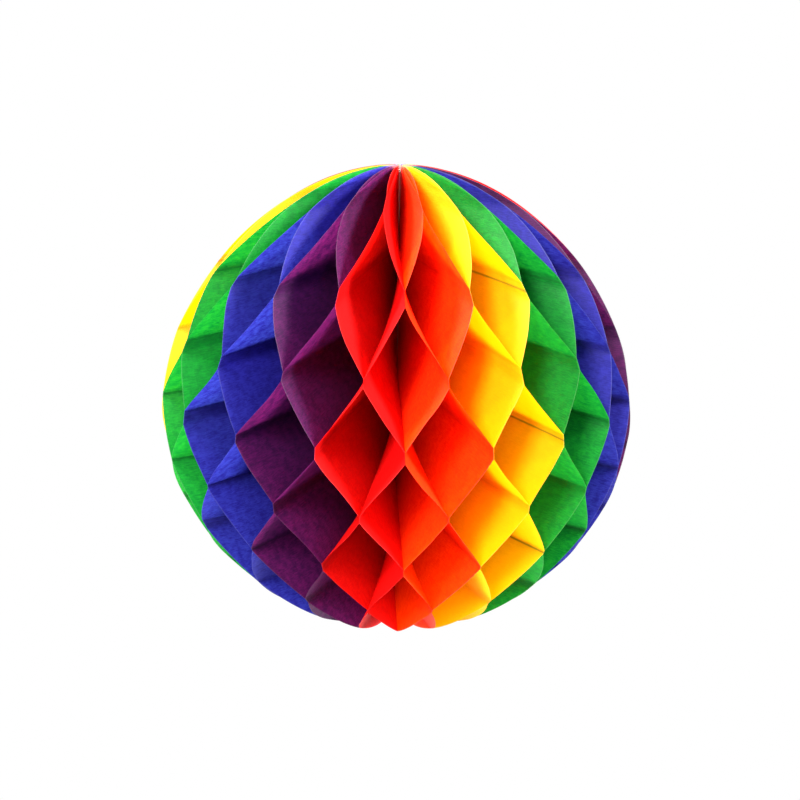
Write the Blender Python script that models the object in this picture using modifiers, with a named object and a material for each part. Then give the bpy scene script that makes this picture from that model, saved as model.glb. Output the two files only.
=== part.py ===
# Rainbow paper honeycomb ball, 300 mm across, opened out and ready to hang.
#
# Forty half-disc tissue leaves stand round an upright spine. A leaf is glued to the
# leaf on its right along every other glue row, and to the leaf on its left along the
# rows between, so it runs in a zigzag and the leaves open into diamond cells.
# Two card covers end the stack. They meet back to back and sticky dots hold them.
#
# Metres, +Z up. The origin is the centre of the ball, the spine lies on Z, and the
# seam between the covers is the half-plane x = 0 towards +Y. Angles round the spine
# start at the seam and run by way of -X, the front (-Y) and +X back to the seam.

import math

import bmesh
import bpy
from mathutils import Matrix, Vector

# Ball
BALL_RADIUS = 0.150
LEAF_COUNT = 40
UNEVEN_SPREAD = 0.077       # radians; the left half of the ball is opened a little wider
RIM_DROOP = 0.0034          # how far a leaf's outer edge sags below its glued spine

# Tissue leaf
SHEET_THICKNESS = 0.0002
CLEARANCE = 0.0003          # kept between pieces that touch or are glued
LEAF_INNER = 0.0038         # straight edge of a leaf, from the axis
LEAF_TIP = 0.010            # reach of a leaf's blunt ends, from the axis
TIP_SHOULDER = 0.1455       # height of an extra step that rounds the outline near each end

# Glue rows, as heights on a leaf that lies flat
ROW_COUNT = 8
TOP_ROW = 0.136
ROW_PITCH = 0.0384
JOIN_HEIGHT = 0.006         # how tall a stretch of two leaves stays together at a row
PAPER_GIVE = 0.73           # share of a cell's width that draws its rows together

# Spine
SPINE_RADIUS = 0.0035
SPINE_HALF_LENGTH = 0.1455
THREAD_RADIUS = 0.00045
TIE_RADIUS = 0.0024
TIE_HEIGHT = 0.1465

# Card covers and the dots between them
COVER_RADIUS = 0.144
COVER_SET_BACK = 0.015      # straight edge of a cover, from the axis
CARD_THICKNESS = 0.0004
COVER_BACK = 0.0002         # back face of a cover, from the seam
DOT_RADIUS = 0.010
DOT_THICKNESS = 0.0002
DOT_REACH = 0.080           # centre of a dot, from the axis
DOT_HEIGHTS = {"top": 0.085, "middle": 0.0, "bottom": -0.085}

# Linear colour, roughness and metallic value of each finish
RAINBOW = ("green", "blue", "purple", "red", "orange", "yellow")
FINISHES = {
    "green": ((0.0, 0.33, 0.03), 0.9, 0.0),
    "blue": ((0.06, 0.05, 0.55), 0.9, 0.0),
    "purple": ((0.25, 0.02, 0.22), 0.9, 0.0),
    "red": ((0.75, 0.01, 0.01), 0.9, 0.0),
    "orange": ((0.95, 0.10, 0.01), 0.9, 0.0),
    "yellow": ((0.95, 0.65, 0.0), 0.9, 0.0),
    "card": ((0.25, 0.15, 0.08), 0.8, 0.0),
    "glue": ((0.75, 0.70, 0.58), 0.5, 0.0),
    "thread": ((0.85, 0.85, 0.82), 0.8, 0.0),
    "sticky": ((0.88, 0.88, 0.85), 0.4, 0.0),
}


def material(finish):
    """The Principled material of one finish, made on first use."""
    made = bpy.data.materials.get(finish)
    if made:
        return made
    made = bpy.data.materials.new(finish)
    made.use_nodes = True
    color, roughness, metallic = FINISHES[finish]
    shader = made.node_tree.nodes["Principled BSDF"]
    shader.inputs["Base Color"].default_value = (*color, 1.0)
    shader.inputs["Roughness"].default_value = roughness
    shader.inputs["Metallic"].default_value = metallic
    return made


def place(name, bm, finish, collection):
    """Turn a bmesh into a named object of the ball."""
    mesh = bpy.data.meshes.new(name)
    bm.to_mesh(mesh)
    bm.free()
    mesh.materials.append(material(finish))
    obj = bpy.data.objects.new(name, mesh)
    collection.objects.link(obj)
    return obj


def thicken(obj, thickness):
    """Give an open sheet its thickness, half to each side."""
    solid = obj.modifiers.new("Thickness", "SOLIDIFY")
    solid.thickness = thickness
    solid.offset = 0.0
    solid.use_even_offset = True


def even_angle(line):
    """Angle of a glue line round the spine, from the seam, if all cells were alike."""
    return 2 * math.pi * line / LEAF_COUNT


def glue_line_angle(line):
    """Real angle of a glue line from the seam. Line 0 is on cover A, the last on cover B."""
    return even_angle(line) + UNEVEN_SPREAD * (1 - math.cos(even_angle(line)))


def row_closeness(line, reach):
    """Height of a row over its height on a flat leaf. Wide cells draw their rows together."""
    spacing = 2 * math.pi / LEAF_COUNT * (1 + UNEVEN_SPREAD * math.sin(even_angle(line)))
    return math.sqrt(1 - (PAPER_GIVE * spacing * reach / ROW_PITCH) ** 2)


def stand_off(line, reach):
    """How far a leaf's middle keeps from the glue line it is stuck to."""
    beside_leaf = (CLEARANCE + SHEET_THICKNESS) / 2
    if 0 < line < LEAF_COUNT:
        return beside_leaf
    beside_cover = COVER_BACK + CARD_THICKNESS + CLEARANCE + SHEET_THICKNESS / 2
    share = min((reach - LEAF_INNER) / (COVER_SET_BACK - LEAF_INNER), 1.0)
    return beside_leaf + (beside_cover - beside_leaf) * share


def row_point(leaf, row, reach, height):
    """A point of a leaf on one of its glue rows. Rows take the right and left line in turn."""
    line = leaf if (leaf + row) % 2 else leaf - 1
    side = -1 if line == leaf else 1
    angle = glue_line_angle(line)
    outward = Vector((-math.sin(angle), math.cos(angle), 0))
    onward = Vector((-math.cos(angle), -math.sin(angle), 0))
    point = outward * reach + onward * side * stand_off(line, reach)
    point.z = height * row_closeness(line, reach) - RIM_DROOP * (reach / BALL_RADIUS) ** 2
    return point


def leaf_point(leaf, reach, height):
    """A point of a leaf, from its reach and height on the flat leaf."""
    steps_down = (TOP_ROW - height) / ROW_PITCH
    row = math.floor(steps_down)
    join = JOIN_HEIGHT / ROW_PITCH
    slope = (steps_down - row - join / 2) / (1 - join)
    share = min(max(slope, 0.0), 1.0)
    upper = row_point(leaf, row, reach, height)
    lower = row_point(leaf, row + 1, reach, height)
    return upper.lerp(lower, share)


def leaf_heights():
    """The flat heights at which a leaf bends or ends, bottom to top."""
    tip = math.sqrt(BALL_RADIUS ** 2 - LEAF_TIP ** 2)
    heights = [-tip, -TIP_SHOULDER, TIP_SHOULDER, tip]
    for row in range(ROW_COUNT):
        middle = TOP_ROW - row * ROW_PITCH
        heights += [middle - JOIN_HEIGHT / 2, middle + JOIN_HEIGHT / 2]
    return sorted(heights)


def leaf_reaches(height):
    """Inner edge, one column beside the covers' straight edge, and round outer edge."""
    rim = math.sqrt(BALL_RADIUS ** 2 - height ** 2)
    return LEAF_INNER, min(COVER_SET_BACK, (LEAF_INNER + rim) / 2), rim


def make_leaf(leaf, collection):
    """One pleated half-disc of tissue: a flat grid folded onto its glue rows."""
    heights = leaf_heights()
    columns = len(leaf_reaches(0)) - 1
    bm = bmesh.new()
    bmesh.ops.create_grid(bm, x_segments=columns, y_segments=len(heights) - 1, size=0.5)
    for vert in bm.verts:
        height = heights[round((vert.co.y + 0.5) * (len(heights) - 1))]
        reach = leaf_reaches(height)[round((vert.co.x + 0.5) * columns)]
        vert.co = leaf_point(leaf, reach, height)
    finish = RAINBOW[(leaf - 1) // 2 % len(RAINBOW)]
    obj = place(f"leaf_{leaf:02d}_{finish}", bm, finish, collection)
    thicken(obj, SHEET_THICKNESS)


def make_cover(name, side, collection):
    """A half-disc of card in the seam. side is -1 for x below 0 and 1 for x above 0."""
    bm = bmesh.new()
    bmesh.ops.create_circle(bm, cap_ends=True, segments=72, radius=COVER_RADIUS)
    everything = bm.verts[:] + bm.edges[:] + bm.faces[:]
    bmesh.ops.bisect_plane(
        bm, geom=everything, plane_co=(0, COVER_SET_BACK, 0), plane_no=(0, 1, 0), clear_inner=True)
    bmesh.ops.rotate(bm, verts=bm.verts, matrix=Matrix.Rotation(math.pi / 2, 3, "Y"))
    middle = COVER_BACK + CARD_THICKNESS / 2
    bmesh.ops.translate(bm, verts=bm.verts, vec=(side * middle, 0, 0))
    obj = place(name, bm, "card", collection)
    thicken(obj, CARD_THICKNESS)


def make_spine(collection):
    """The glued bead that holds every leaf's straight edge."""
    bm = bmesh.new()
    bmesh.ops.create_cone(
        bm, cap_ends=True, segments=20, radius1=SPINE_RADIUS, radius2=SPINE_RADIUS,
        depth=2 * SPINE_HALF_LENGTH)
    place("spine_glue_bead", bm, "glue", collection)


def make_thread_tie(name, height, collection):
    """A ring of thread that gathers the leaves' corners at one end of the spine."""
    bpy.ops.mesh.primitive_torus_add(
        major_segments=20, minor_segments=8, major_radius=TIE_RADIUS,
        minor_radius=THREAD_RADIUS, location=(0, 0, height))
    obj = bpy.context.object
    obj.name = name
    obj.data.name = name
    obj.data.materials.append(material("thread"))
    obj.data.shade_smooth()
    for holder in obj.users_collection:
        holder.objects.unlink(obj)
    collection.objects.link(obj)


def make_sticky_dot(name, height, collection):
    """A round sticky pad in the seam, between the covers' backs."""
    bm = bmesh.new()
    bmesh.ops.create_cone(
        bm, cap_ends=True, segments=24, radius1=DOT_RADIUS, radius2=DOT_RADIUS,
        depth=DOT_THICKNESS)
    bmesh.ops.rotate(bm, verts=bm.verts, matrix=Matrix.Rotation(math.pi / 2, 3, "Y"))
    bmesh.ops.translate(bm, verts=bm.verts, vec=(0, DOT_REACH, height))
    place(name, bm, "sticky", collection)


def main():
    for obj in list(bpy.data.objects):
        bpy.data.objects.remove(obj, do_unlink=True)
    collection = bpy.data.collections.new("paper_honeycomb_ball")
    bpy.context.scene.collection.children.link(collection)

    for leaf in range(1, LEAF_COUNT + 1):
        make_leaf(leaf, collection)
    make_cover("cover_a", -1, collection)
    make_cover("cover_b", 1, collection)
    make_spine(collection)
    make_thread_tie("thread_tie_top", TIE_HEIGHT, collection)
    make_thread_tie("thread_tie_bottom", -TIE_HEIGHT, collection)
    for level, height in DOT_HEIGHTS.items():
        make_sticky_dot(f"sticky_dot_{level}", height, collection)


main()
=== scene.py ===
# Rainbow paper honeycomb ball, opened out and hanging: forty creased tissue leaves
# round a glued spine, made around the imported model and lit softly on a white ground.

import math

import bmesh
import bpy
from mathutils import Matrix, Quaternion, Vector, noise


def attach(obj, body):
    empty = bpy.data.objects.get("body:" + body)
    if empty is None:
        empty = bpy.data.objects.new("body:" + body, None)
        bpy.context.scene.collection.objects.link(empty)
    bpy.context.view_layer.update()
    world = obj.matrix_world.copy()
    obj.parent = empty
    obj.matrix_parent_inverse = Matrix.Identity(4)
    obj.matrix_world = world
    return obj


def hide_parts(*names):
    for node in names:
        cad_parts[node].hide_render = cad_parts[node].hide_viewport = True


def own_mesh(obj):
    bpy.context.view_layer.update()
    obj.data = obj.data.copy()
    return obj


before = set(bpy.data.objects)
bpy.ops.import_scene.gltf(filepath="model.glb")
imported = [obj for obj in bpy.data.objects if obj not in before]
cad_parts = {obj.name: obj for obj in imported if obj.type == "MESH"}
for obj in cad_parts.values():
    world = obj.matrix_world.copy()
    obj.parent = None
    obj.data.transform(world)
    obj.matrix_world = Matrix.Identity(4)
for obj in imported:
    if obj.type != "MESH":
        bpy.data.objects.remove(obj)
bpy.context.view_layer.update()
print("frame loaded")

# The lattice that the leaves are glued to, in metres and radians
ball = {
    "radius": 0.150,
    "unevenSpread": 0.077,  # the left half is opened a little wider
    "rimDroop": 0.0034,  # a leaf's outer edge sags below its glued spine
    "rowCount": 8,
    "topRow": 0.136,  # heights on a leaf that lies flat
    "rowPitch": 0.0384,
    "joinHeight": 0.0052,  # how tall a stretch of two leaves stays together
    "joinGrows": 0.5,  # share of that height gained at the top of the ball and lost at the bottom
    "joinVaries": 0.5,  # share of that height that comes and goes from spot to spot
    "paperGive": 0.73,  # share of a cell's width that draws its rows together
    "handMade": 0.006,  # how far a glued spot strays sideways, in radians
}
leafNodes = sorted(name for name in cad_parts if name.startswith("leaf_"))
leafCount = len(leafNodes)


# Small helpers


# sRGB hex to linear
def linear(hexColour):
    channels = [int(hexColour[i:i + 2], 16) / 255 for i in (1, 3, 5)]
    return (*[c / 12.92 if c <= 0.04045 else ((c + 0.055) / 1.055) ** 2.4 for c in channels], 1.0)


def addNode(tree, kind, inputs=None, **settings):
    node = tree.nodes.new("ShaderNode" + kind)
    for name, value in settings.items():
        setattr(node, name, value)
    for name, value in (inputs or {}).items():
        if isinstance(value, bpy.types.NodeSocket):
            tree.links.new(value, node.inputs[name])
        else:
            node.inputs[name].default_value = value
    return node


def newMaterial(name):
    material = bpy.data.materials.new(name)
    material.use_nodes = True
    tree = material.node_tree
    tree.nodes.clear()
    return material, tree


def newPiece(name, bm, material, smooth=True):
    mesh = bpy.data.meshes.new(name)
    bm.to_mesh(mesh)
    bm.free()
    mesh.materials.append(material)
    for face in mesh.polygons:
        face.use_smooth = smooth
    piece = bpy.data.objects.new(name, mesh)
    bpy.context.scene.collection.objects.link(piece)
    return piece


# Camera

view = {
    "azimuth": math.radians(6.86),
    "elevation": math.radians(17.48),
    "distance": 4.197 * ball["radius"],
    "roll": math.radians(0.77),
    "lens": 43.2,
    "shift": (0.0044, -0.0009),
}


def addCamera():
    azimuth, elevation = view["azimuth"], view["elevation"]
    back = Vector((
        math.sin(azimuth) * math.cos(elevation),
        -math.cos(azimuth) * math.cos(elevation),
        math.sin(elevation),
    ))
    camera = bpy.data.objects.new("camera", bpy.data.cameras.new("camera"))
    camera.location = back * view["distance"]
    camera.rotation_mode = "QUATERNION"
    camera.rotation_quaternion = (-back).to_track_quat("-Z", "Y") @ Quaternion((0, 0, 1), view["roll"])
    camera.data.lens = view["lens"]
    camera.data.shift_x, camera.data.shift_y = view["shift"]
    bpy.context.scene.collection.objects.link(camera)
    bpy.context.scene.camera = camera


addCamera()


# Materials

# Tissue paper, 17 g per square metre, dyed in the pulp. The fibres lie in soft clouds, light
# comes through it, and it glows where the sheet behind it is lit.
tissue = {
    "cloudSize": 0.0045,  # fibre clouds, in metres
    "fibreWidth": 0.0006,  # real fibres are 0.02 mm; drawn as coarse as they need to show
    "fibreLength": 0.004,
    "fibreStep": 0.0004,  # how far the fibres stand out
    "densest": 1.2,  # sum of both noises where the pulp is thickest, and where it is thinnest
    "thinnest": 0.8,
    "glueWidth": 0.0010,  # half of a printed glue line
    "glueCore": 0.2,  # share of that half that shows at full strength
    # paler rim along a leaf's cut edge: partly its frayed fibres, partly a painted highlight where the
    # edge catches the light
    "glueOwn": 0.10,  # how dark a glue line shows where the leaf behind has the same colour
    "edgeWidth": 0.0006,
    "edgeFrayAndHighlight": 0.08,
    "lightThrough": 0.5,
    "paleCorner": "#eab0a0",  # pale pinkish patch over a leaf's inner corner near the top
    "paleCornerFrom": 0.112,  # height where it begins, and where it is widest
    "paleCornerTop": 0.144,
    "paleCornerReach": 0.013,
    "paleCornerSoft": 0.0050,
    "paleCornerCover": 0.7,
    "dyes": {
        "red": {
            "dye": "#e40a0c", "cloud": "#d80808", "through": "#ec1408",
            "glue": "#a00404", "glueOther": 0.20,
        },
        "orange": {
            "dye": "#f83c00", "cloud": "#f03200", "through": "#ff4c00",
            "glue": "#c02c04", "glueOther": 0.15,
        },
        "yellow": {
            "dye": "#ffbe00", "cloud": "#f8b000", "through": "#ffb000",
            "glue": "#7c7c10", "glueOther": 0.80,
        },
        "green": {
            "dye": "#058c2b", "cloud": "#047826", "through": "#209e28",
            "glue": "#045018", "glueOther": 0.35,
        },
        "blue": {
            "dye": "#2a2294", "cloud": "#201c7e", "through": "#3440a8",
            "glue": "#18165c", "glueOther": 0.25,
        },
        "purple": {
            "dye": "#50124e", "cloud": "#3e0e40", "through": "#701858",
            "glue": "#300834", "glueOther": 0.25,
        },
    },
}


def makeTissue(name, dye):
    material, tree = newMaterial(f"dyed_tissue_paper_{name}")
    flat = addNode(tree, "UVMap", uv_map="flat").outputs["UV"]
    fibre = addNode(tree, "UVMap", uv_map="fibre").outputs["UV"]
    clouds = addNode(
        tree, "TexNoise",
        {"Vector": fibre, "Scale": 1 / tissue["cloudSize"], "Detail": 4.0,
         "Roughness": 0.6}).outputs["Fac"]
    stretched = addNode(
        tree, "Mapping",
        {"Vector": fibre,
         "Scale": (1 / tissue["fibreLength"], 1 / tissue["fibreWidth"], 1.0)}).outputs["Vector"]
    fibres = addNode(
        tree, "TexNoise",
        {"Vector": stretched, "Scale": 1.0, "Detail": 3.0, "Distortion": 0.8}).outputs["Fac"]
    both = addNode(tree, "Math", {0: clouds, 1: fibres}, operation="ADD").outputs[0]
    density = addNode(
        tree, "MapRange",
        {"Value": both, "From Min": tissue["thinnest"], "From Max": tissue["densest"]}).outputs[0]

    across = addNode(tree, "SeparateXYZ", {0: flat})
    down = addNode(
        tree, "MapRange",
        {"Value": across.outputs["Y"], "From Min": ball["topRow"] - ball["rowPitch"],
         "From Max": ball["topRow"], "To Min": 1.0, "To Max": 0.0}, clamp=False).outputs[0]
    fromRow = addNode(tree, "Math", {0: down, 1: 1.0}, operation="PINGPONG").outputs[0]
    # on rows where this is 0 the leaf is stuck to its own colour, and where it is 1 to the next colour
    width = tissue["glueWidth"] / ball["rowPitch"]
    core = tissue["glueCore"] * width
    own = addNode(
        tree, "MapRange",
        {"Value": fromRow, "From Min": core, "From Max": width,
         "To Min": tissue["glueOwn"], "To Max": 0.0}).outputs[0]
    other = addNode(
        tree, "MapRange",
        {"Value": fromRow, "From Min": 1 - width, "From Max": 1 - core,
         "To Min": 0.0, "To Max": dye["glueOther"]}).outputs[0]
    glue = addNode(tree, "Math", {0: own, 1: other}, operation="MAXIMUM").outputs[0]

    # pale pinkish patch on the inner corner at the top
    limit = addNode(
        tree, "MapRange",
        {"Value": across.outputs["Y"], "From Min": tissue["paleCornerFrom"], "From Max": tissue["paleCornerTop"],
         "To Min": 0.0, "To Max": tissue["paleCornerReach"]}).outputs[0]
    beyond = addNode(tree, "Math", {0: limit, 1: across.outputs["X"]}, operation="SUBTRACT").outputs[0]
    paleCorner = addNode(
        tree, "MapRange",
        {"Value": beyond, "From Min": 0.0, "From Max": tissue["paleCornerSoft"],
         "To Min": 0.0, "To Max": tissue["paleCornerCover"]}).outputs[0]

    # painted highlight along the cut edge, with its paler frayed fibres: the colour whitens towards the
    # rim
    reach = addNode(tree, "VectorMath", {0: flat}, operation="LENGTH").outputs["Value"]
    edge = addNode(
        tree, "MapRange",
        {"Value": reach, "From Min": ball["radius"] - tissue["edgeWidth"], "From Max": ball["radius"],
         "To Min": 0.0, "To Max": tissue["edgeFrayAndHighlight"]}).outputs[0]

    dyed = addNode(
        tree, "Mix", {0: density, 6: linear(dye["cloud"]), 7: linear(dye["dye"])},
        data_type="RGBA").outputs[2]
    glued = addNode(tree, "Mix", {0: glue, 6: dyed, 7: linear(dye["glue"])}, data_type="RGBA").outputs[2]
    paleCornered = addNode(
        tree, "Mix", {0: paleCorner, 6: glued, 7: linear(tissue["paleCorner"])}, data_type="RGBA").outputs[2]
    frayAndHighlighted = addNode(tree, "Mix", {0: edge, 6: paleCornered, 7: (1, 1, 1, 1)}, data_type="RGBA").outputs[2]

    bump = addNode(
        tree, "Bump",
        {"Height": both, "Strength": 0.35, "Distance": tissue["fibreStep"]}).outputs["Normal"]
    front = addNode(
        tree, "BsdfPrincipled",
        {"Base Color": frayAndHighlighted, "Roughness": 0.6, "Specular IOR Level": 0.25, "Normal": bump})
    thin = addNode(
        tree, "Mix", {0: density, 6: linear(dye["cloud"]), 7: linear(dye["through"])},
        data_type="RGBA").outputs[2]
    passed = addNode(tree, "Mix", {0: glue, 6: thin, 7: linear(dye["glue"])}, data_type="RGBA").outputs[2]
    back = addNode(tree, "BsdfTranslucent", {"Color": passed, "Normal": bump})
    sheet = addNode(
        tree, "MixShader", {0: tissue["lightThrough"], 1: front.outputs[0], 2: back.outputs[0]})
    addNode(tree, "OutputMaterial", {"Surface": sheet.outputs[0]})
    return material


tissuePapers = {name: makeTissue(name, dye) for name, dye in tissue["dyes"].items()}
print("tissue papers made")


# Leaves

leaf = {
    "inner": 0.0037,  # straight edge of a leaf, from the axis
    "tip": 0.010,  # reach of a leaf's blunt ends
    "gap": 0.0001,  # middle of a sheet from the glue line it is stuck to
    "coverFace": 0.0010,  # the same, where it is stuck to a cover
    "coverSetBack": 0.015,
    "stackOff": 0.00078,  # end leaves from the seam's plane once the ball is folded
    "stackKeep": 0.010,  # share of a leaf's depth that is left then
    "step": 0.0024,  # mesh spacing down a leaf
    "columns": 30,
    "endSteps": 16,  # closer steps past the last glue row, where the outline turns in
    "ease": 0.06,  # how far the folds are rounded, from 0, sharp, to 1
    "buckle": 0.0018,  # deepest soft buckle of a panel
    "ripple": 0.0005,  # small waves along the rim
}


def evenAngle(line):
    return 2 * math.pi * line / leafCount


# angle of a glue line round the spine, from the seam between the covers
def lineAngle(line):
    return evenAngle(line) + ball["unevenSpread"] * (1 - math.cos(evenAngle(line)))


# the same for one glued spot, which strays a little
def spotAngle(line, row):
    stray = noise.noise((line * 3.7, row * 5.3, 0.5)) if 0 < line < leafCount else 0.0
    return lineAngle(line) + ball["handMade"] * stray


def rowCloseness(line, reach):
    spacing = evenAngle(1) * (1 + ball["unevenSpread"] * math.sin(evenAngle(line)))
    return math.sqrt(1 - (ball["paperGive"] * spacing * reach / ball["rowPitch"]) ** 2)


def standOff(line, reach):
    if 0 < line < leafCount:
        return leaf["gap"]
    share = min((reach - leaf["inner"]) / (leaf["coverSetBack"] - leaf["inner"]), 1.0)
    return leaf["gap"] + (leaf["coverFace"] - leaf["gap"]) * share


# a point of a leaf if it followed one glue row only
def rowPoint(number, row, reach, height):
    line = glueLine(number, row)
    side = -1 if line == number else 1
    angle = spotAngle(line, row)
    outward = Vector((-math.sin(angle), math.cos(angle), 0))
    onward = Vector((-math.cos(angle), -math.sin(angle), 0))
    point = outward * reach + onward * side * standOff(line, reach)
    point.z = height * rowCloseness(line, reach) - ball["rimDroop"] * (reach / ball["radius"]) ** 2
    return point


# the line that a leaf is stuck to on a row: on even and odd rows it takes turns
def glueLine(number, row):
    return number if (number + row) % 2 else number - 1


# half the height of one glued spot, as a share of the row pitch
def joinHalf(number, row):
    strays = noise.noise((glueLine(number, row) * 2.3, row * 4.1, 9.5))
    lift = (ball["topRow"] - row * ball["rowPitch"]) / ball["radius"]
    return ball["joinHeight"] / ball["rowPitch"] / 2 * (
        1 + ball["joinGrows"] * lift + 2 * ball["joinVaries"] * strays)


def leafPoint(number, reach, height):
    stepsDown = (ball["topRow"] - height) / ball["rowPitch"]
    row = math.floor(stepsDown)
    above, below = joinHalf(number, row), joinHalf(number, row + 1)
    share = min(max((stepsDown - row - above) / (1 - above - below), 0.0), 1.0)
    eased = share - leaf["ease"] * math.sin(2 * math.pi * share) / (2 * math.pi)
    upper = rowPoint(number, row, reach, height)
    lower = rowPoint(number, row + 1, reach, height)
    point = upper.lerp(lower, eased)
    # soft buckles that die out at the glued rows and the spine
    slack = math.sin(math.pi * share) * reach / ball["radius"]
    where = Vector((reach * 16, height * 16, number * 7.1))
    swell = noise.noise(where) * leaf["buckle"] + noise.noise(where * 4.5) * leaf["ripple"]
    across = Vector((-point.y, point.x, 0)).normalized()
    return point + across * swell * slack


# heights down the flat leaf: every fold and glue row, and close steps at the round ends
def leafHeights(number):
    radius, pitch = ball["radius"], ball["rowPitch"]
    end = math.sqrt(radius ** 2 - leaf["tip"] ** 2)
    stops = sorted(
        ball["topRow"] - (row + side * joinHalf(number, row)) * pitch
        for row in range(ball["rowCount"]) for side in (-1, 1))
    heights = []
    for low, high in zip(stops, stops[1:]):
        count = math.ceil((high - low) / leaf["step"])
        heights += [low + (high - low) * i / count for i in range(count)]
    for edge, sign in ((stops[-1], 1), (stops[0], -1)):
        first, last = math.asin(abs(edge) / radius), math.asin(end / radius)
        turn = (last - first) / leaf["endSteps"]
        heights += [sign * radius * math.sin(first + turn * i) for i in range(leaf["endSteps"] + 1)]
    return sorted(set(heights))


def makeLeaf(node):
    number = int(node.split("_")[1])
    colour = node.split("_")[2]
    heights = leafHeights(number)
    columns = leaf["columns"]
    bm = bmesh.new()
    bmesh.ops.create_grid(bm, x_segments=columns, y_segments=len(heights) - 1, size=0.5)
    flatMap, fibreMap = bm.loops.layers.uv.new("flat"), bm.loops.layers.uv.new("fibre")
    flatPlace = {}
    for vert in bm.verts:
        height = heights[round((vert.co.y + 0.5) * (len(heights) - 1))]
        rim = math.sqrt(ball["radius"] ** 2 - height ** 2)
        reach = leaf["inner"] + (rim - leaf["inner"]) * (vert.co.x + 0.5)
        flatPlace[vert] = Vector((reach, height))
        vert.co = leafPoint(number, reach, height)
    for face in bm.faces:
        for loop in face.loops:
            place = flatPlace[loop.vert]
            loop[flatMap].uv = place
            loop[fibreMap].uv = place + Vector((0.31, 0.17)) * number
    piece = newPiece(f"tissue_{node}", bm, tissuePapers[colour])
    body = f"leaf_{number:02d}"
    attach(piece, body)
    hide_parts(node)
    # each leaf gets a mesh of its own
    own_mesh(piece)
    return piece


leaves = [makeLeaf(node) for node in leafNodes]
print(f"{len(leaves)} leaves made")


# Spine

# White bookbinding glue, brushed over the leaves' straight edges and cured: lumpy, half glossy, and
# stained by each leaf it holds. Near the top its stain fades and it turns pale.
spine = {
    "radius": 0.00335,
    "halfLength": 0.1455,
    "lump": 0.00015,
    "lumpSize": 0.004,
    "grain": 0.0015,  # size of the fine brush marks in its skin
    "glue": "#e8a898",
    "paleFrom": 0.112,  # height at which the stain begins to fade, and where it is weakest
    "paleAbove": 0.122,
    "weakest": 0.35,
}


def makeGlue():
    material, tree = newMaterial("cured_white_glue")
    stain = addNode(tree, "Attribute", attribute_name="stain").outputs["Color"]
    place = addNode(tree, "TexCoord").outputs["Object"]
    marks = addNode(
        tree, "TexNoise", {"Vector": place, "Scale": 1 / spine["grain"], "Detail": 3.0}).outputs["Fac"]
    dried = addNode(
        tree, "MapRange",
        {"Value": marks, "From Min": 0.3, "From Max": 0.7, "To Min": 0.3, "To Max": 0.6}).outputs[0]
    bump = addNode(
        tree, "Bump", {"Height": marks, "Strength": 0.4, "Distance": 0.0002}).outputs["Normal"]
    glue = addNode(
        tree, "BsdfPrincipled",
        {"Base Color": stain, "Roughness": dried, "IOR": 1.47, "Normal": bump})
    addNode(tree, "OutputMaterial", {"Surface": glue.outputs[0]})
    return material


# dye that has bled into the glue beside the leaf at this angle
def stainAt(place):
    angle = math.atan2(-place.x, place.y) % (2 * math.pi)
    colour = leafNodes[int(angle / (2 * math.pi) * leafCount) % leafCount].split("_")[2]
    faded = (place.z - spine["paleFrom"]) / (spine["paleAbove"] - spine["paleFrom"])
    strength = 1 - (1 - spine["weakest"]) * min(max(faded, 0.0), 1.0)
    dye, glue = Vector(linear(tissue["dyes"][colour]["glue"])), Vector(linear(spine["glue"]))
    return glue.lerp(dye, strength)


def makeSpine():
    bm = bmesh.new()
    bmesh.ops.create_cone(
        bm, cap_ends=True, segments=80, radius1=spine["radius"], radius2=spine["radius"],
        depth=2 * spine["halfLength"])
    upright = [
        edge for edge in bm.edges
        if abs(edge.verts[0].co.z - edge.verts[1].co.z) > spine["halfLength"]]
    bmesh.ops.subdivide_edges(bm, edges=upright, cuts=150, use_grid_fill=True)
    for vert in bm.verts:
        if abs(vert.co.z) < spine["halfLength"] - 0.001:
            swell = 1 + spine["lump"] / spine["radius"] * noise.noise(vert.co / spine["lumpSize"])
            vert.co.x *= swell
            vert.co.y *= swell
    stain = bm.loops.layers.float_color.new("stain")
    for face in bm.faces:
        for loop in face.loops:
            loop[stain] = stainAt(loop.vert.co)
    piece = newPiece("brushed_glue_spine", bm, makeGlue())
    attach(piece, "root")
    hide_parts("spine_glue_bead")


# Thread ties

# Two-ply cotton thread, unbleached and waxed: soft, with the slant of its twist showing, and painted
# shade in the hollows of its fluff.
thread = {
    "ring": 0.0024,
    "ply": 0.00024,
    "twist": 0.00021,  # middle of a ply from the middle of the thread
    "turns": 14,
    "height": 0.1465,
    "colour": "#ece6d8",
    # painted shade: the colour where the fluff bump dips
    "hollowShade": "#a89c88",
    "fluff": 0.0001,  # cotton fibres are 0.015 mm; drawn as coarse as they need to show
}


def makeCotton():
    material, tree = newMaterial("waxed_cotton_thread")
    place = addNode(tree, "TexCoord").outputs["Object"]
    fluff = addNode(
        tree, "TexNoise", {"Vector": place, "Scale": 1 / thread["fluff"], "Detail": 2.0}).outputs["Fac"]
    # the colour darkens where the fluff bump dips: painted shade in the hollows
    colour = addNode(
        tree, "Mix", {0: fluff, 6: linear(thread["hollowShade"]), 7: linear(thread["colour"])},
        data_type="RGBA").outputs[2]
    bump = addNode(
        tree, "Bump", {"Height": fluff, "Strength": 0.5, "Distance": 0.00005}).outputs["Normal"]
    cotton = addNode(
        tree, "BsdfPrincipled",
        {"Base Color": colour, "Roughness": 0.75, "Sheen Weight": 0.3, "Normal": bump})
    addNode(tree, "OutputMaterial", {"Surface": cotton.outputs[0]})
    return material


cotton = makeCotton()


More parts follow.
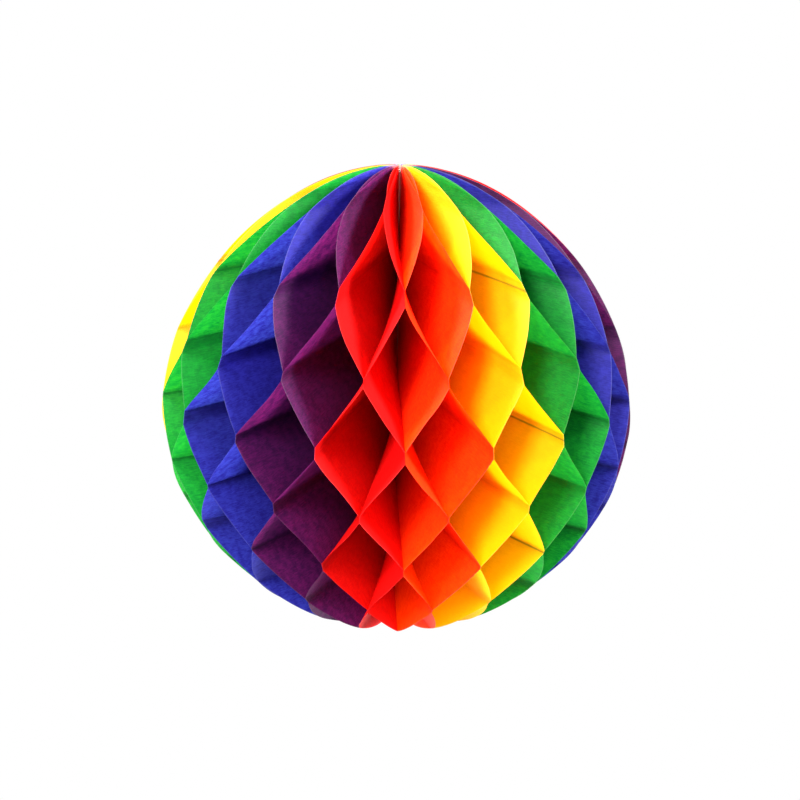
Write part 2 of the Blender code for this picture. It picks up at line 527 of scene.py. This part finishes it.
def addPly(bm, height, start):
    made = bmesh.ops.create_grid(bm, x_segments=168, y_segments=8, size=0.5)
    for vert in made["verts"]:
        around = 2 * math.pi * (vert.co.x + 0.5)
        section = 2 * math.pi * (vert.co.y + 0.5)
        lean = around * thread["turns"] + start
        out = thread["ring"] + thread["twist"] * math.cos(lean) + thread["ply"] * math.cos(section)
        up = thread["twist"] * math.sin(lean) + thread["ply"] * math.sin(section)
        vert.co = (out * math.cos(around), out * math.sin(around), height + up)


def makeThreadTie(node, height):
    bm = bmesh.new()
    for start in (0, math.pi):
        addPly(bm, height, start)
    bmesh.ops.remove_doubles(bm, verts=bm.verts, dist=1e-6)
    bmesh.ops.recalc_face_normals(bm, faces=bm.faces)
    piece = newPiece(f"twisted_{node}", bm, cotton)
    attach(piece, "root")
    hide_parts(node)


# Covers

# Unbleached kraft board, 0.4 mm: a matt brown face with darker fibres, and a soft die-cut edge.
card = {
    "radius": 0.144,
    "setBack": 0.015,
    "thickness": 0.0004,
    "back": 0.0002,  # back face from the seam
    "edge": 0.00012,
    "face": "#8f7154",
    "fleck": "#775b40",
    "fibre": 0.0012,
}


def makeBoard():
    material, tree = newMaterial("unbleached_kraft_board")
    place = addNode(tree, "TexCoord").outputs["Object"]
    fibre = addNode(
        tree, "TexNoise",
        {"Vector": place, "Scale": 1 / card["fibre"], "Detail": 6.0, "Roughness": 0.7}).outputs["Fac"]
    share = addNode(
        tree, "MapRange", {"Value": fibre, "From Min": 0.35, "From Max": 0.55}).outputs[0]
    colour = addNode(
        tree, "Mix", {0: share, 6: linear(card["fleck"]), 7: linear(card["face"])},
        data_type="RGBA").outputs[2]
    bump = addNode(
        tree, "Bump", {"Height": fibre, "Strength": 0.3, "Distance": 0.0001}).outputs["Normal"]
    board = addNode(
        tree, "BsdfPrincipled",
        {"Base Color": colour, "Roughness": 0.7, "Specular IOR Level": 0.35, "Normal": bump})
    addNode(tree, "OutputMaterial", {"Surface": board.outputs[0]})
    return material


board = makeBoard()


# round off the edges of a thin flat piece
def softenEdges(bm, offset):
    bmesh.ops.recalc_face_normals(bm, faces=bm.faces)
    sharp = [edge for edge in bm.edges if edge.calc_face_angle(0) > 1.0]
    bmesh.ops.bevel(
        bm, geom=sharp, offset=offset, segments=2, profile=0.5, affect="EDGES", material=-1)


def makeCover(node, side, body):
    bm = bmesh.new()
    bmesh.ops.create_circle(bm, cap_ends=True, segments=288, radius=card["radius"])
    bmesh.ops.bisect_plane(
        bm, geom=bm.verts[:] + bm.edges[:] + bm.faces[:], plane_co=(0, card["setBack"], 0),
        plane_no=(0, 1, 0), clear_inner=True)
    bmesh.ops.rotate(bm, verts=bm.verts, matrix=Matrix.Rotation(math.pi / 2, 3, "Y"))
    bmesh.ops.translate(bm, verts=bm.verts, vec=(side * card["back"], 0, 0))
    grown = bmesh.ops.extrude_face_region(bm, geom=bm.faces[:], use_keep_orig=True)
    moved = [part for part in grown["geom"] if isinstance(part, bmesh.types.BMVert)]
    bmesh.ops.translate(bm, verts=moved, vec=(side * card["thickness"], 0, 0))
    softenEdges(bm, card["edge"])
    piece = newPiece(f"card_{node}", bm, board, smooth=False)
    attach(piece, body)
    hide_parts(node)


# Sticky dots

# Tissue tape with acrylic glue on both faces, 0.2 mm: milky and half glossy, with a bubbly glue film.
dot = {
    "radius": 0.010,
    "thickness": 0.0002,
    "reach": 0.080,  # middle of a dot from the axis
    "heights": {"top": 0.085, "middle": 0.0, "bottom": -0.085},
    "edge": 0.00005,
    "film": "#e9e7dc",
    "bubble": "#d0cdbf",
    "bubbleSize": 0.0006,
}


def makeTape():
    material, tree = newMaterial("double_sided_tissue_tape")
    place = addNode(tree, "TexCoord").outputs["Object"]
    bubbles = addNode(
        tree, "TexVoronoi", {"Vector": place, "Scale": 1 / dot["bubbleSize"]}).outputs["Distance"]
    share = addNode(
        tree, "MapRange", {"Value": bubbles, "From Min": 0.1, "From Max": 0.5}).outputs[0]
    colour = addNode(
        tree, "Mix", {0: share, 6: linear(dot["bubble"]), 7: linear(dot["film"])},
        data_type="RGBA").outputs[2]
    bump = addNode(
        tree, "Bump", {"Height": share, "Strength": 0.4, "Distance": 0.00005}).outputs["Normal"]
    tape = addNode(
        tree, "BsdfPrincipled",
        {"Base Color": colour, "Roughness": 0.35, "IOR": 1.47, "Normal": bump})
    addNode(tree, "OutputMaterial", {"Surface": tape.outputs[0]})
    return material


tape = makeTape()


def makeStickyDot(level, height):
    bm = bmesh.new()
    bmesh.ops.create_cone(
        bm, cap_ends=True, segments=64, radius1=dot["radius"], radius2=dot["radius"],
        depth=dot["thickness"])
    softenEdges(bm, dot["edge"])
    bmesh.ops.rotate(bm, verts=bm.verts, matrix=Matrix.Rotation(math.pi / 2, 3, "Y"))
    bmesh.ops.translate(bm, verts=bm.verts, vec=(0, dot["reach"], height))
    piece = newPiece(f"tape_sticky_dot_{level}", bm, tape, smooth=False)
    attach(piece, "root")
    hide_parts(f"sticky_dot_{level}")


makeSpine()
makeThreadTie("thread_tie_top", thread["height"])
makeThreadTie("thread_tie_bottom", -thread["height"])
makeCover("cover_a", -1, "root")
makeCover("cover_b", 1, "cover_b")
for level, height in dot["heights"].items():
    makeStickyDot(level, height)
print("spine, ties, covers and dots made")


# Setting

studio = {
    "floorDrop": 0.26,  # below the ball's centre
    "floorSize": 12.0,
    "wallBounce": 0.3,  # light that the white walls give back, beside how white they look
    "floorBounce": 2.4,
    "lamps": {
        # azimuth is counted from the ball's front towards its right, both angles in degrees
        "front": {"power": 38.0, "size": 0.45, "azimuth": -20, "elevation": 34, "distance": 1.5},
        "left": {"power": 48.0, "size": 0.35, "azimuth": -85, "elevation": 50, "distance": 1.4},
        "behind": {"power": 22.0, "size": 0.5, "azimuth": -125, "elevation": 40, "distance": 1.4},
        "right": {"power": 54.0, "size": 0.35, "azimuth": 76, "elevation": 35, "distance": 1.4},
    },
}


# how strongly a white surround glows: fully to the eye, weaker as a light
def whiteLight(tree, bounce):
    seen = addNode(tree, "LightPath").outputs["Is Camera Ray"]
    return addNode(tree, "MapRange", {"Value": seen, "To Min": bounce, "To Max": 1.0}).outputs[0]


def addFloor():
    bm = bmesh.new()
    bmesh.ops.create_grid(bm, x_segments=1, y_segments=1, size=studio["floorSize"])
    bmesh.ops.translate(bm, verts=bm.verts, vec=(0, 0, -studio["floorDrop"]))
    material, tree = newMaterial("white_paper_floor")
    surface = addNode(
        tree, "Emission",
        {"Color": (1, 1, 1, 1), "Strength": whiteLight(tree, studio["floorBounce"])})
    addNode(tree, "OutputMaterial", {"Surface": surface.outputs[0]})
    floor = newPiece("floor", bm, material, smooth=False)


def addSurround():
    world = bpy.data.worlds.new("white_studio")
    world.use_nodes = True
    tree = world.node_tree
    tree.nodes.clear()
    sky = addNode(
        tree, "Background",
        {"Color": (1, 1, 1, 1), "Strength": whiteLight(tree, studio["wallBounce"])})
    addNode(tree, "OutputWorld", {"Surface": sky.outputs[0]})
    bpy.context.scene.world = world


def addLamp(name, lamp):
    data = bpy.data.lights.new(name, "AREA")
    data.energy, data.size = lamp["power"], lamp["size"]
    azimuth, elevation = math.radians(lamp["azimuth"]), math.radians(lamp["elevation"])
    towards = Vector((
        math.sin(azimuth) * math.cos(elevation),
        -math.cos(azimuth) * math.cos(elevation),
        math.sin(elevation),
    ))
    made = bpy.data.objects.new(name, data)
    made.location = towards * lamp["distance"]
    made.rotation_mode = "QUATERNION"
    made.rotation_quaternion = (-towards).to_track_quat("-Z", "Y")
    bpy.context.scene.collection.objects.link(made)


addFloor()
addSurround()
for name, lamp in studio["lamps"].items():
    addLamp(name, lamp)
bpy.context.scene.view_settings.view_transform = "Standard"
print("setting made")
